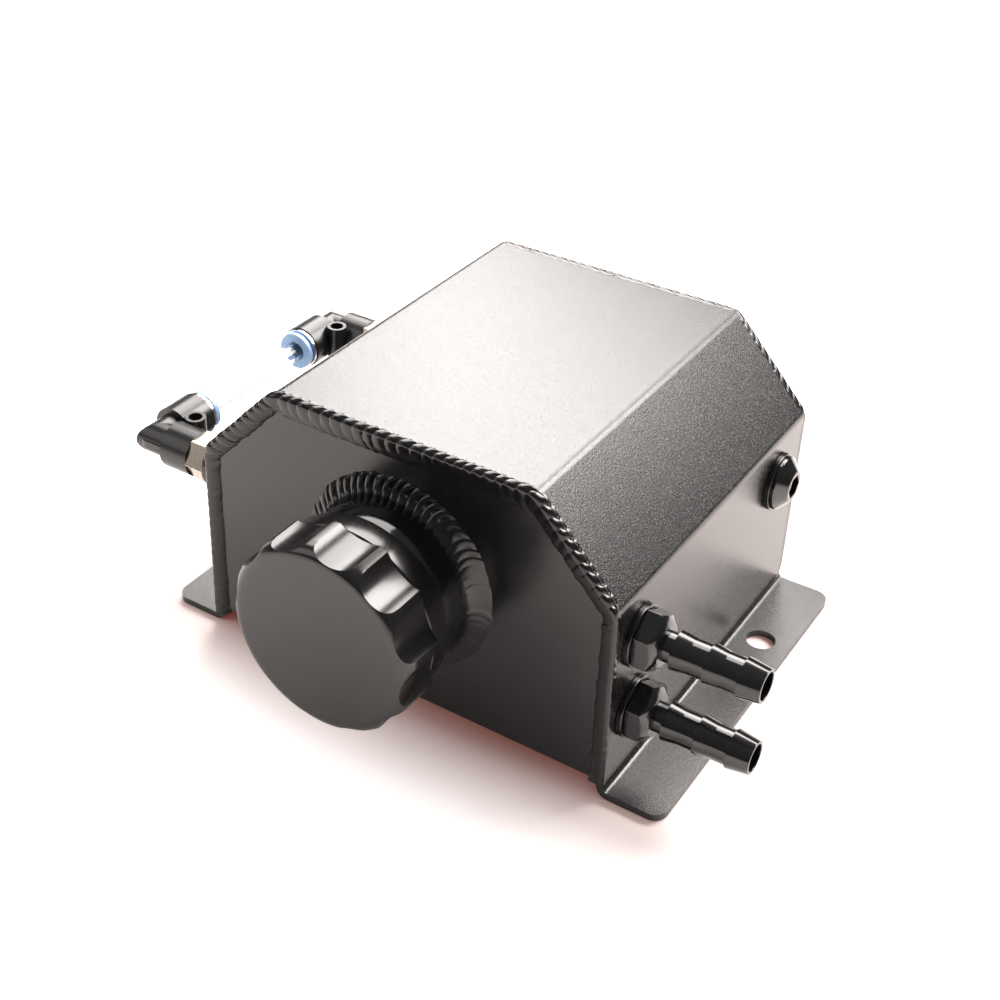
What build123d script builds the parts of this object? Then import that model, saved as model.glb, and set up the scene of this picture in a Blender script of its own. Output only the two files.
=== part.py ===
from build123d import *
import math
import os

os.makedirs("parts", exist_ok=True)

# Coolant expansion tank, folded and welded from aluminium sheet. Millimetres, Z up.
# X is across the tank, with the hose barbs on the +X side and the sight tube on the -X side.
# Y runs from the filler cap end, which faces -Y, to the rear end. The origin of the finished piece is the
# middle of the four bolt holes, at the underside of the tabs; while drawing, Y = 0 is the front of the tank.

# Tank body
body_width = 126.0
body_length = 110.0
body_height = 84.5
shoulder_height = 59.0
top_width = 78.0
sheet = 2.0
bend_radius = 3.0
tab_bend_radius = 1.5
tab_reach = 16.5
tab_corner_radius = 4.0
end_plate_thickness = 2.6
floor_thickness = 2.0
floor_lift = 5.4

# Bolt holes in the tabs
bolt_hole_diameter = 8.4
bolt_hole_from_wall = 8.0
bolt_spacing_along = 48.0

# Weld bead round each end, laid over the seam between the sheet's edge and the end plate
bead_width = 5.2
bead_rise = 1.7
bead_facets = 4
ripple_pitch = 3.15
ripple_height = 0.5
bead_foot_height = 3.7

# Weld fillet round the neck, and the plain fillet under the floor
neck_weld_width = 5.5
neck_weld_rise = 5.4
neck_weld_bulge = 1.4
neck_ripples = 52
neck_ripple_height = 0.45
neck_groove_share = 0.3
floor_weld_leg = 1.7

# Filler neck
cap_height = 44.5
neck_radius = 23.0
neck_reach = 13.6
neck_lip_chamfer = 1.3
neck_inner_reach = 2.0
throat_radius = 16.4
throat_ledge = 3.0
thread_radius = 18.0

# Filler cap
cap_radius = 26.8
cap_face_radius = 22.8
cap_face_reach = 35.0
cap_edge_reach = 29.8
cap_rim_turn = 45.0
cap_skirt_reach = 21.2
cap_skirt_radius = 25.0
cap_seat_gap = 1.0
flute_count = 12
flute_radius = 13.6
flute_depth = 2.0
flute_phase = 21.25
plug_length = 12.6
thread_clearance = 0.1
seal_inner_radius = 18.8
seal_width = 3.0
seal_thickness = 2.4
seal_groove_depth = 1.6
seal_clearance = 0.1

# Side fittings
fitting_height = 45.5
front_fitting_inset = 11.7
rear_fitting_inset = 16.2
hose_drop = 22.6
press_clearance = 0.05

# Weld bung on the hose side
bung_radius = 8.4
bung_proud = 1.6
bung_spigot_radius = 7.4
bung_inner_reach = 6.0
port_thread_radius = 5.9
seal_seat_depth = 1.0
seal_seat_radius = 7.3
port_seal_inner_radius = 6.1

# Hose barb
hex_size = 14.4
hex_length = 6.2
hex_chamfer_length = 2.2
hex_chamfer_radius = 5.6
barb_neck_radius = 4.0
barb_neck_length = 2.7
barb_count = 3
barb_pitch = 8.65
barb_crest_radius = 5.2
barb_land_radius = 4.5
barb_slope_length = 4.3
barb_end_length = 6.0
barb_mouth_radius = 4.3
hose_bore_radius = 3.6
port_thread_length = 9.0

# Blanking plug
plug_flange_radius = 7.9
plug_flange_thickness = 1.0
plug_head_radius = 4.4
plug_head_length = 3.0
plug_socket_size = 6.0
plug_socket_depth = 4.5

# Weld bung on the sight tube side
sight_bung_radius = 7.6
sight_bung_proud = 6.3
sight_bung_spigot_radius = 6.6
sight_thread_radius = 4.9
sight_thread_length = 12.0
washer_radius = 7.0
washer_thickness = 1.1

# Push-in elbow
stem_hex_size = 12.0
stem_hex_length = 6.25
stem_bore_radius = 2.3
stem_spigot_radius = 4.2
stem_spigot_length = 8.6
elbow_stem_reach = 15.15
elbow_tube_reach = 16.1
elbow_barrel_radius = 6.7
elbow_barrel_start = 5.6
elbow_neck_radius = 4.9
elbow_web_offset = 5.3
elbow_web_thickness = 2.2
elbow_web_corner = 4.6
elbow_boss_offset = 7.3
elbow_boss_radius = 3.0
elbow_boss_height = 12.0
elbow_boss_hole_radius = 2.05
socket_radius = 5.0
socket_floor = 6.6
sleeve_flange_radius = 6.3
sleeve_flange_thickness = 1.2
sleeve_wall = 0.55
sleeve_length = 5.9
collar_radius = 5.9
collar_flange_thickness = 1.3
collar_gap = 0.9
collar_clearance = 0.08
collar_length = 7.1
grip_thickness = 0.6
tube_seal_thickness = 1.6

# Sight tube
tube_radius = 3.0
tube_bore_radius = 2.0
tube_stop = 5.5
tube_clearance = 0.1

# Values that follow from the sizes above
half_width = body_width / 2
half_top = top_width / 2
bolt_spacing_across = body_width + 2 * bolt_hole_from_wall
fitting_y_front = front_fitting_inset
fitting_y_rear = body_length - rear_fitting_inset
tube_x = half_width + sight_bung_proud + washer_thickness + stem_hex_length + elbow_stem_reach
inner_bend_radius = bend_radius - sheet


def place_outward(side, y, z):
    """A plane on the outside of a side wall, its Z axis pointing away from the tank."""
    return Plane(origin=(side * half_width, y, z), x_dir=(0, side, 0), z_dir=(side, 0, 0))


def turned(profile, where=Plane.XY):
    """A turned piece: an outline of (radius, height) points spun about the axis of its plane."""
    outline = Plane.XZ * make_face(Polyline(*profile, close=True))
    return where * revolve(outline, axis=Axis.Z)


def ring(inner, outer, low, high, where=Plane.XY):
    """A plain ring between two radii and two heights."""
    return turned([(inner, low), (outer, low), (outer, high), (inner, high)], where)


def rod(radius, low, high, where=Plane.XY):
    """A plain round bar between two heights."""
    return turned([(0, low), (radius, low), (radius, high), (0, high)], where)


def hexagon(size, low, high, where=Plane.XY, turn=0.0):
    """A hexagonal bar, measured across its flats."""
    flat = Rot(0, 0, turn) * RegularPolygon(radius=size / 2, side_count=6, major_radius=False)
    return where * (Pos(0, 0, low) * extrude(flat, amount=high - low))


def contour(inset, foot):
    """The tank's cross-section as corner points, moved inwards from its outer faces."""
    outer = [
        (half_width, foot),
        (half_width, shoulder_height),
        (half_top, body_height),
        (-half_top, body_height),
        (-half_width, shoulder_height),
        (-half_width, foot),
    ]
    edges = [(Vector(*b) - Vector(*a)).normalized() for a, b in zip(outer, outer[1:])]
    inward = [Vector(-e.Y, e.X) for e in edges]
    corners = [Vector(*outer[0]) + inward[0] * inset]
    for point, one, other in zip(outer[1:-1], inward, inward[1:]):
        corners.append(Vector(*point) + (one + other) * (inset / (1 + one.dot(other))))
    corners.append(Vector(*outer[-1]) + inward[-1] * inset)
    return [(c.X, c.Y) for c in corners]


def section_face(inset, foot, y):
    """The tank's cross-section as a flat face at one place along its length."""
    return Plane((0, y, 0), x_dir=(1, 0, 0), z_dir=(0, -1, 0)) * make_face(
        Polyline(*contour(inset, foot), close=True)
    )


def at_rear(piece):
    """The same piece turned round to the other end of the tank."""
    return mirror(piece, about=Plane((0, body_length / 2, 0), x_dir=(1, 0, 0), z_dir=(0, 1, 0)))


def fitting_places():
    """Where the side walls are bored, as plane and hole radius."""
    return [
        (place_outward(1, fitting_y_front, fitting_height), bung_spigot_radius),
        (place_outward(1, fitting_y_front, fitting_height - hose_drop), bung_spigot_radius),
        (place_outward(1, fitting_y_rear, fitting_height), bung_spigot_radius),
        (place_outward(-1, fitting_y_front, fitting_height), sight_bung_spigot_radius),
        (place_outward(-1, fitting_y_rear, fitting_height), sight_bung_spigot_radius),
    ]


def tank_shell():
    """Sides, shoulders, top and both tabs, folded from one sheet."""
    tip = half_width + tab_reach
    over = [
        (tip, sheet),
        (half_width, sheet),
        (half_width, shoulder_height),
        (half_top, body_height),
        (-half_top, body_height),
        (-half_width, shoulder_height),
        (-half_width, sheet),
        (-tip, sheet),
    ]
    radii = [tab_bend_radius] + [bend_radius] * 4 + [tab_bend_radius]
    fold = FilletPolyline(*over, radius=radii)
    outline = fold.offset_2d(sheet, side=Side.LEFT)
    sheet_face = Plane((0, 0, 0), x_dir=(1, 0, 0), z_dir=(0, -1, 0)) * make_face(outline)
    shell = extrude(sheet_face, amount=body_length, dir=(0, 1, 0))
    tips = shell.edges().filter_by(Axis.Z).filter_by(lambda e: abs(e.center().X) > tip - sheet / 2)
    shell = fillet(tips, tab_corner_radius)
    for across in (-1, 1):
        for along in (-1, 1):
            x = across * bolt_spacing_across / 2
            y = body_length / 2 + along * bolt_spacing_along / 2
            shell = shell - rod(bolt_hole_diameter / 2, -sheet, 2 * sheet, Plane((x, y, 0)))
    for where, radius in fitting_places():
        shell = shell - rod(radius + press_clearance, -2 * sheet, sheet, where)
    return shell


def end_plate():
    """A flat end, let in flush with the edge of the folded sheet."""
    blank = section_face(sheet, floor_lift, 0)
    blank = fillet([v for v in blank.vertices() if v.Z > shoulder_height / 2], inner_bend_radius)
    return extrude(blank, amount=end_plate_thickness, dir=(0, 1, 0))


def front_end_plate():
    """The front end, bored for the filler neck."""
    return end_plate() - rod(neck_radius + press_clearance, -2 * end_plate_thickness, sheet, neck_place())


def floor_plate():
    """The bottom, let in between the side walls above the tabs."""
    corner = (-half_width + sheet, end_plate_thickness, floor_lift)
    size = (body_width - 2 * sheet, body_length - 2 * end_plate_thickness, floor_thickness)
    return Pos(*corner) * Box(*size, align=(Align.MIN, Align.MIN, Align.MIN))


def bead_point(lower, turn):
    """A point on the bead's half-oval section, lowered all round, at an angle from its flat foot."""
    return (bead_width / 2 - lower) * math.cos(turn), (bead_rise - lower) * math.sin(turn)


def bead_section(lower, where):
    """The weld bead cut straight across: half of a many-sided oval."""
    points = [bead_point(lower, math.pi * k / bead_facets) for k in range(bead_facets + 1)]
    return where * make_face(Polyline(*points, close=True))


def bead_run(start, end):
    """One straight length of weld bead, as a row of ripples, each widening to a step."""
    along = Vector(end[0] - start[0], 0, end[1] - start[1])
    length = along.length
    along = along.normalized()
    inward = Vector(-along.Z, 0, along.X)
    count = max(1, round(length / ripple_pitch))
    ripples = []
    for k in range(count):
        near, far = [
            Plane(
                Vector(start[0], 0, start[1]) + along * (length * n / count),
                x_dir=inward,
                z_dir=along,
            )
            for n in (k, k + 1)
        ]
        low = bead_section(ripple_height, near)
        high = bead_section(0, far)
        ripples.append(loft([low, high], ruled=True))
    return ripples


def bead_corner(corner, before, after):
    """The outside of a turn in the bead, filling the wedge between two straight lengths."""
    first = Vector(corner[0] - before[0], 0, corner[1] - before[1]).normalized()
    second = Vector(after[0] - corner[0], 0, after[1] - corner[1]).normalized()
    turn = math.degrees(math.acos(first.dot(second)))
    outward = Vector(first.Z, 0, -first.X)
    where = Plane(Vector(corner[0], 0, corner[1]), x_dir=outward, z_dir=first)
    quarter = bead_facets // 2
    rim = [bead_point(ripple_height / 2, -math.pi / 2 * k / quarter) for k in range(quarter + 1)]
    face = where * make_face(Polyline((0, 0), *rim, close=True))
    return revolve(face, axis=Axis(where.origin, (0, -1, 0)), revolution_arc=turn)


def perimeter_weld():
    """The rippled weld that joins the front end to the folded sheet, up one side, over and down."""
    path = contour(bead_width / 2, bead_foot_height)
    pieces = []
    for start, end in zip(path, path[1:]):
        pieces.extend(bead_run(start, end))
    for before, corner, after in zip(path, path[1:], path[2:]):
        pieces.append(bead_corner(corner, before, after))
    return pieces[0].fuse(*pieces[1:])


def floor_weld():
    """The fillet of weld under the floor, along both side walls."""
    wall = half_width - sheet
    beads = []
    for side in (-1, 1):
        corner = [
            (side * wall, floor_lift),
            (side * (wall - floor_weld_leg), floor_lift),
            (side * wall, floor_lift - floor_weld_leg),
        ]
        face = Plane((0, end_plate_thickness, 0), x_dir=(1, 0, 0), z_dir=(0, -1, 0)) * make_face(
            Polyline(*corner, close=True)
        )
        beads.append(extrude(face, amount=body_length - 2 * end_plate_thickness, dir=(0, 1, 0)))
    return beads


def neck_place():
    """The plane of the filler neck, its Z axis pointing out of the front of the tank."""
    return Plane((0, 0, cap_height), x_dir=(1, 0, 0), z_dir=(0, -1, 0))


def filler_neck():
    """The turned neck, plain outside, with the thread bore and a ledge at its foot."""
    foot = -end_plate_thickness - neck_inner_reach
    ledge = foot + throat_ledge
    profile = make_face(
        Polyline(
            (throat_radius, foot),
            (neck_radius, foot),
            (neck_radius, neck_reach),
            (thread_radius, neck_reach),
            (thread_radius, ledge),
            (throat_radius, ledge),
            close=True,
        )
    )
    wall_middle = (thread_radius + neck_radius) / 2
    lip = profile.vertices().filter_by(lambda v: v.X > wall_middle and v.Y > neck_reach / 2)
    profile = chamfer(lip, neck_lip_chamfer)
    return neck_place() * revolve(Plane.XZ * profile, axis=Axis.Z)


def neck_weld():
    """The rippled fillet of weld between the neck and the front end."""
    crown = math.hypot(neck_weld_width, neck_weld_rise) / 2

    def bead(grow):
        middle = (
            neck_radius + neck_weld_width / 2 + (neck_weld_bulge + grow) * neck_weld_rise / 2 / crown,
            neck_weld_rise / 2 + (neck_weld_bulge + grow) * neck_weld_width / 2 / crown,
        )
        return Plane.XZ * make_face(
            Polyline(
                (neck_radius, 0),
                (neck_radius + neck_weld_width + grow, 0),
                middle,
                (neck_radius, neck_weld_rise + grow),
                close=True,
            )
        )

    step = 360 / neck_ripples
    core = revolve(bead(0), axis=Axis.Z)
    ripple = revolve(bead(neck_ripple_height), axis=Axis.Z, revolution_arc=step * (1 - neck_groove_share))
    ripples = [Rot(0, 0, step * k) * ripple for k in range(neck_ripples)]
    return neck_place() * core.fuse(*ripples)


def filler_cap():
    """The screw cap: a fluted head with a rounded rim, a plain skirt and a screw plug."""
    seat = neck_reach + cap_seat_gap
    plug = thread_radius - thread_clearance
    groove_low = seal_inner_radius - seal_clearance
    groove_high = seal_inner_radius + seal_width + seal_clearance
    rim_turn = math.radians(cap_rim_turn)
    body = turned(
        [
            (0, cap_face_reach),
            (cap_face_radius, cap_face_reach),
            (
                cap_face_radius + (cap_radius - cap_face_radius) * math.cos(rim_turn),
                cap_edge_reach + (cap_face_reach - cap_edge_reach) * math.sin(rim_turn),
            ),
            (cap_radius, cap_edge_reach),
            (cap_radius, cap_skirt_reach),
            (cap_skirt_radius, cap_skirt_reach),
            (cap_skirt_radius, seat),
            (groove_high, seat),
            (groove_high, seat + seal_groove_depth),
            (groove_low, seat + seal_groove_depth),
            (groove_low, seat),
            (plug, seat),
            (plug, seat - plug_length),
            (0, seat - plug_length),
        ]
    )
    flute = rod(flute_radius, cap_skirt_reach, 2 * cap_face_reach)
    away = cap_radius - flute_depth + flute_radius
    for k in range(flute_count):
        body = body - Rot(0, 0, flute_phase + 360 / flute_count * k) * Pos(away, 0, 0) * flute
    return neck_place() * body


def cap_seal():
    """The rubber ring let into the underside of the cap."""
    top = neck_reach + cap_seat_gap + seal_groove_depth - seal_clearance
    return ring(seal_inner_radius, seal_inner_radius + seal_width, top - seal_thickness, top, neck_place())


def hose_bung(where):
    """A turned bung, welded into the side wall, with a seat for the seal in its mouth."""
    foot = -sheet - bung_inner_reach
    return turned(
        [
            (port_thread_radius, foot),
            (bung_spigot_radius, foot),
            (bung_spigot_radius, 0),
            (bung_radius, 0),
            (bung_radius, bung_proud),
            (seal_seat_radius, bung_proud),
            (seal_seat_radius, bung_proud - seal_seat_depth),
            (port_thread_radius, bung_proud - seal_seat_depth),
        ],
        where,
    )


def port_seal(where):
    """The rubber ring under the head of a barb or plug."""
    outer = seal_seat_radius - seal_clearance
    return ring(port_seal_inner_radius, outer, bung_proud - seal_seat_depth, bung_proud, where)


def hose_barb(where):
    """A turned hose tail: thread, hexagon, neck and three sharp barbs, bored right through."""
    seat = bung_proud
    thread = port_thread_radius - thread_clearance
    hex_top = seat + hex_length
    corner = hex_size / math.sqrt(3) + sheet
    slope = hex_chamfer_length / (hex_size / math.sqrt(3) - hex_chamfer_radius)
    spread = (corner - hex_chamfer_radius) * slope
    cone = turned(
        [(0, seat), (corner, seat), (corner, hex_top - spread), (hex_chamfer_radius, hex_top), (0, hex_top)]
    )
    head = hexagon(hex_size, seat, hex_top, turn=30) & cone
    first = hex_top + barb_neck_length
    outline = [(0, seat - port_thread_length), (thread, seat - port_thread_length), (thread, seat)]
    outline += [(barb_neck_radius, seat), (barb_neck_radius, first)]
    for k in range(barb_count):
        crest = first + k * barb_pitch
        outline.append((barb_crest_radius, crest))
        if k < barb_count - 1:
            outline.append((barb_land_radius, crest + barb_slope_length))
            outline.append((barb_land_radius, crest + barb_pitch))
        else:
            outline.append((barb_mouth_radius, crest + barb_end_length))
            outline.append((0, crest + barb_end_length))
    tail = turned(outline)
    bore = rod(hose_bore_radius, seat - 2 * port_thread_length, first + (barb_count + 1) * barb_pitch)
    return where * ((head + tail) - bore)


def blanking_plug(where):
    """The plug in the spare port: a thin flange, a tapered head and a hexagon socket."""
    seat = bung_proud
    flange = seat + plug_flange_thickness
    top = flange + plug_head_length
    thread = port_thread_radius - thread_clearance
    body = turned(
        [
            (0, seat - port_thread_length),
            (thread, seat - port_thread_length),
            (thread, seat),
            (plug_flange_radius, seat),
            (plug_flange_radius, flange),
            (plug_head_radius, top),
            (0, top),
        ]
    )
    return where * (body - hexagon(plug_socket_size, top - plug_socket_depth, top + sheet))


def sight_bung(where):
    """The taller bung that carries a sight tube elbow."""
    foot = -sheet - bung_inner_reach
    return turned(
        [
            (sight_thread_radius, foot),
            (sight_bung_spigot_radius, foot),
            (sight_bung_spigot_radius, 0),
            (sight_bung_radius, 0),
            (sight_bung_radius, sight_bung_proud),
            (sight_thread_radius, sight_bung_proud),
        ],
        where,
    )


def sight_washer(where):
    """The copper-brown sealing washer under the elbow's hexagon."""
    top = sight_bung_proud + washer_thickness
    return ring(sight_thread_radius, washer_radius, sight_bung_proud, top, where)


def elbow_stem(where):
    """The nickel-plated stem: thread, hexagon and the spigot that the elbow turns on."""
    seat = sight_bung_proud + washer_thickness
    hex_top = seat + stem_hex_length
    thread = sight_thread_radius - thread_clearance
    body = hexagon(stem_hex_size, seat, hex_top)
    body = body + rod(thread, seat - sight_thread_length, seat)
    body = body + rod(stem_spigot_radius, hex_top, hex_top + stem_spigot_length)
    bore = rod(stem_bore_radius, seat - 2 * sight_thread_length, hex_top + 2 * stem_spigot_length)
    return where * (body - bore)


def elbow_frame(y, way):
    """The corner of an elbow: X towards the tank, Y along the tube towards the other elbow."""
    return Pos(-tube_x, y, fitting_height), way


def set_elbow_piece(piece, frame):
    """Puts a piece of the push-in elbow, drawn for the front one, where it belongs."""
    corner, way = frame
    if way < 0:
        piece = mirror(piece, about=Plane.XZ)
    return corner * piece


def along_tube():
    """The plane of the tube socket, its Z axis along the tube."""
    return Plane((0, 0, 0), x_dir=(1, 0, 0), z_dir=(0, 1, 0))


def along_stem():
    """The plane of the stem socket, its Z axis towards the tank."""
    return Plane((0, 0, 0), x_dir=(0, 1, 0), z_dir=(1, 0, 0))


def elbow_barrel(reach, where):
    """One arm of the elbow: a slim neck that steps out to the socket barrel."""
    return turned(
        [
            (0, 0),
            (elbow_neck_radius, 0),
            (elbow_neck_radius, elbow_barrel_start),
            (elbow_barrel_radius, elbow_barrel_start),
            (elbow_barrel_radius, reach),
            (0, reach),
        ],
        where,
    )


def elbow_body(frame):
    """The moulded elbow: two barrels, a mitred corner, an outer web and a screw boss in the crook."""
    web = Pos(-elbow_web_offset, -elbow_web_offset, -elbow_web_thickness / 2) * Box(
        elbow_web_offset + elbow_boss_offset,
        elbow_web_offset + elbow_boss_offset,
        elbow_web_thickness,
        align=(Align.MIN, Align.MIN, Align.MIN),
    )
    outer_corner = web.edges().filter_by(Axis.Z).sort_by(lambda e: e.center().X + e.center().Y)[0]
    web = fillet([outer_corner], elbow_web_corner)
    boss_place = Plane((elbow_boss_offset, elbow_boss_offset, 0))
    corner = [rod(elbow_neck_radius, -elbow_neck_radius, 0, where) for where in (along_stem(), along_tube())]
    body = elbow_barrel(elbow_stem_reach, along_stem()) + elbow_barrel(elbow_tube_reach, along_tube())
    body = body + (corner[0] & corner[1]) + web
    body = body + rod(elbow_boss_radius, -elbow_boss_height / 2, elbow_boss_height / 2, boss_place)
    body = body - rod(elbow_boss_hole_radius, -elbow_boss_height, elbow_boss_height, boss_place)
    body = body - rod(
        stem_spigot_radius + thread_clearance,
        elbow_stem_reach - stem_spigot_length - thread_clearance,
        2 * elbow_stem_reach,
        along_stem(),
    )
    body = body - rod(socket_radius, socket_floor, 2 * elbow_tube_reach, along_tube())
    body = body - rod(tube_radius + tube_clearance, tube_stop, elbow_tube_reach, along_tube())
    body = body - rod(tube_bore_radius, -tube_bore_radius, elbow_tube_reach, along_tube())
    body = body - rod(tube_bore_radius, -tube_bore_radius, elbow_stem_reach, along_stem())
    return set_elbow_piece(body, frame)


def sleeve_ring(frame):
    """The bright metal bush pressed into the mouth of the tube socket."""
    outer = socket_radius - press_clearance
    inner = outer - sleeve_wall
    top = elbow_tube_reach + sleeve_flange_thickness
    body = turned(
        [
            (inner, elbow_tube_reach - sleeve_length),
            (outer, elbow_tube_reach - sleeve_length),
            (outer, elbow_tube_reach),
            (sleeve_flange_radius, elbow_tube_reach),
            (sleeve_flange_radius, top),
            (inner, top),
        ],
        along_tube(),
    )
    return set_elbow_piece(body, frame)


def release_collar(frame):
    """The light blue collar that is pressed in to free the tube."""
    inner = tube_radius + tube_clearance
    sleeve = socket_radius - press_clearance - sleeve_wall - collar_clearance
    low = elbow_tube_reach + sleeve_flange_thickness + collar_gap
    high = low + collar_flange_thickness
    body = turned(
        [
            (inner, low - collar_length),
            (sleeve, low - collar_length),
            (sleeve, low),
            (collar_radius, low),
            (collar_radius, high),
            (inner, high),
        ],
        along_tube(),
    )
    return set_elbow_piece(body, frame)


def grip_ring(frame):
    """The thin toothed ring that bites on the tube, set between the sleeve and the seal."""
    top = elbow_tube_reach - sleeve_length - press_clearance
    body = ring(
        tube_radius + press_clearance,
        socket_radius - press_clearance,
        top - grip_thickness,
        top,
        along_tube(),
    )
    return set_elbow_piece(body, frame)


def tube_seal(frame):
    """The rubber ring that seals on the tube at the foot of the socket."""
    body = ring(
        tube_radius + press_clearance,
        socket_radius - press_clearance,
        socket_floor,
        socket_floor + tube_seal_thickness,
        along_tube(),
    )
    return set_elbow_piece(body, frame)


def sight_tube():
    """The clear tube between the two elbows."""
    low = fitting_y_front + tube_stop
    high = fitting_y_rear - tube_stop
    where = Plane((-tube_x, 0, fitting_height), x_dir=(1, 0, 0), z_dir=(0, 1, 0))
    return ring(tube_bore_radius, tube_radius, low, high, where)


def build():
    """Every piece of the tank, by name."""
    front_weld = perimeter_weld()
    pieces = {
        "tank_shell": tank_shell(),
        "front_end_plate": front_end_plate(),
        "rear_end_plate": at_rear(end_plate()),
        "floor_plate": floor_plate(),
        "front_perimeter_weld": front_weld,
        "rear_perimeter_weld": at_rear(front_weld),
        "filler_neck": filler_neck(),
        "neck_weld": neck_weld(),
        "filler_cap": filler_cap(),
        "cap_seal": cap_seal(),
        "sight_tube": sight_tube(),
    }
    for side, bead in zip(("left", "right"), floor_weld()):
        pieces[f"{side}_floor_weld"] = bead
    ports = {
        "upper_hose": (fitting_y_front, fitting_height),
        "lower_hose": (fitting_y_front, fitting_height - hose_drop),
        "spare_port": (fitting_y_rear, fitting_height),
    }
    for name, (y, z) in ports.items():
        where = place_outward(1, y, z)
        pieces[f"{name}_bung"] = hose_bung(where)
        pieces[f"{name}_seal"] = port_seal(where)
        if name == "spare_port":
            pieces["spare_port_plug"] = blanking_plug(where)
        else:
            pieces[f"{name}_barb"] = hose_barb(where)
    for name, y, way in (("front", fitting_y_front, 1), ("rear", fitting_y_rear, -1)):
        where = place_outward(-1, y, fitting_height)
        frame = elbow_frame(y, way)
        pieces[f"{name}_sight_bung"] = sight_bung(where)
        pieces[f"{name}_sight_washer"] = sight_washer(where)
        pieces[f"{name}_elbow_stem"] = elbow_stem(where)
        pieces[f"{name}_elbow_body"] = elbow_body(frame)
        pieces[f"{name}_sleeve_ring"] = sleeve_ring(frame)
        pieces[f"{name}_release_collar"] = release_collar(frame)
        pieces[f"{name}_grip_ring"] = grip_ring(frame)
        pieces[f"{name}_tube_seal"] = tube_seal(frame)
    bolt_centre = Pos(0, -body_length / 2, 0)
    return {name: bolt_centre * piece for name, piece in pieces.items()}


for name, piece in build().items():
    export_step(piece, f"parts/{name}.step")
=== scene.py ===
# %% [markdown]
# # A welded black coolant expansion tank
# The real tank is folded from aluminium sheet, closed by two welded ends, and sprayed black all over. A
# screw cap sits on a neck in the front end, two hose tails leave the right side, and a clear tube on the
# left side shows the level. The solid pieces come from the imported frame, at their real size. This lesson
# gives them their finish, and models anew what the frame keeps simple: the scales of the welds, the cap's
# grip, the fittings and threads.

# %% Load the frame
import math
import random

import bmesh
import bpy
from mathutils import Matrix, Vector


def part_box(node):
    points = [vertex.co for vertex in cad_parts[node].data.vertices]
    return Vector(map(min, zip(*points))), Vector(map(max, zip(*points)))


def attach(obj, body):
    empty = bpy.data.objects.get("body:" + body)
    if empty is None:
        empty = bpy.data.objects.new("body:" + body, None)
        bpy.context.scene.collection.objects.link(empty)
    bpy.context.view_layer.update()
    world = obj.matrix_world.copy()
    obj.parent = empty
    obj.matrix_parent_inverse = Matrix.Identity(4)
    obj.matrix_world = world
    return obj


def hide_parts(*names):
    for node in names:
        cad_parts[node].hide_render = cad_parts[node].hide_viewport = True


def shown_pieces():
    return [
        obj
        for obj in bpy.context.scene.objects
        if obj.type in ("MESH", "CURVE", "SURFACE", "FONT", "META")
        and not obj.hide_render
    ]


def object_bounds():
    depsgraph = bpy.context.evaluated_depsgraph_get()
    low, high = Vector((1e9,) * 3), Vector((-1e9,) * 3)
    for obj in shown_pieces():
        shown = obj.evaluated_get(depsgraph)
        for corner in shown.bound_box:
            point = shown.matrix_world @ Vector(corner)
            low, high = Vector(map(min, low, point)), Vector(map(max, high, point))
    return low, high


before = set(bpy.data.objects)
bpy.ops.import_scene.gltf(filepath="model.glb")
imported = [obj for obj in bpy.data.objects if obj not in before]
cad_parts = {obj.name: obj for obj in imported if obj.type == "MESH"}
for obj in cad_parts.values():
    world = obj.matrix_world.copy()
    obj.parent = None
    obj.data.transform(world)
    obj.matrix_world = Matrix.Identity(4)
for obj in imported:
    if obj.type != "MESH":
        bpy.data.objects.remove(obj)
cad_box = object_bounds()
MM = 0.001
cad_size = [round(c / MM, 1) for c in cad_box[1] - cad_box[0]]
print("nodes in the frame:", len(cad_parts), "box in mm:", cad_size)

# %% [markdown]
# ## Sizes
# The frame's origin is the middle of the four bolt holes, on the surface that the tank stands on. Places
# are read from the frame's boxes. The few sizes that a box can't give are written here once, in
# millimetres.

# %% Sizes of the tank
SHEET = 2.0
HALF_TOP = 39.0
SHOULDER_HEIGHT = 59.0
shell_low, shell_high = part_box("tank_shell")
plate_low, plate_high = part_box("front_end_plate")
front_y = shell_low.y / MM
rear_y = shell_high.y / MM
half_width = (plate_high.x - plate_low.x) / 2 / MM + SHEET
body_height = shell_high.z / MM
cap_low, cap_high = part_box("filler_cap")
cap_centre = (cap_low.z + cap_high.z) / 2 / MM
print("front", round(front_y, 2), "rear", round(rear_y, 2), "half width", round(half_width, 2))

# %% [markdown]
# ## Mesh helpers
# Most pieces here are turned or run along a line, so two helpers make nearly all of them. The first joins
# rows of points into a skin. The second spins an outline about an axis. Real turned parts have no razor
# edges: every corner is broken by a tenth of a millimetre or two, and that tiny round is what shines. So a
# third helper softens the corners of an outline before it is spun.

# %% Skin of rows
def add_skin(mesh, rows, loop_rows=False, loop_columns=False):
    """Quads between rows of points. Rows may close on the first row, and each row on its own first point."""
    grid = [[mesh.verts.new(p) for p in row] for row in rows]
    row_steps = len(rows) if loop_rows else len(rows) - 1
    width = len(rows[0])
    column_steps = width if loop_columns else width - 1
    for i in range(row_steps):
        here, after = grid[i], grid[(i + 1) % len(rows)]
        for j in range(column_steps):
            k = (j + 1) % width
            mesh.faces.new([here[j], here[k], after[k], after[j]])
    return grid


# %% Softened outlines
CORNER_SHARES = (0.0, 0.33, 0.67, 1.0)
CORNER_POINTS = len(CORNER_SHARES) + 2
CORNER_GUARD = 1.35
MOST_OF_SIDE = 0.35
ON_AXIS = 1e-6
NO_CUT = 1e-4


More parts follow.
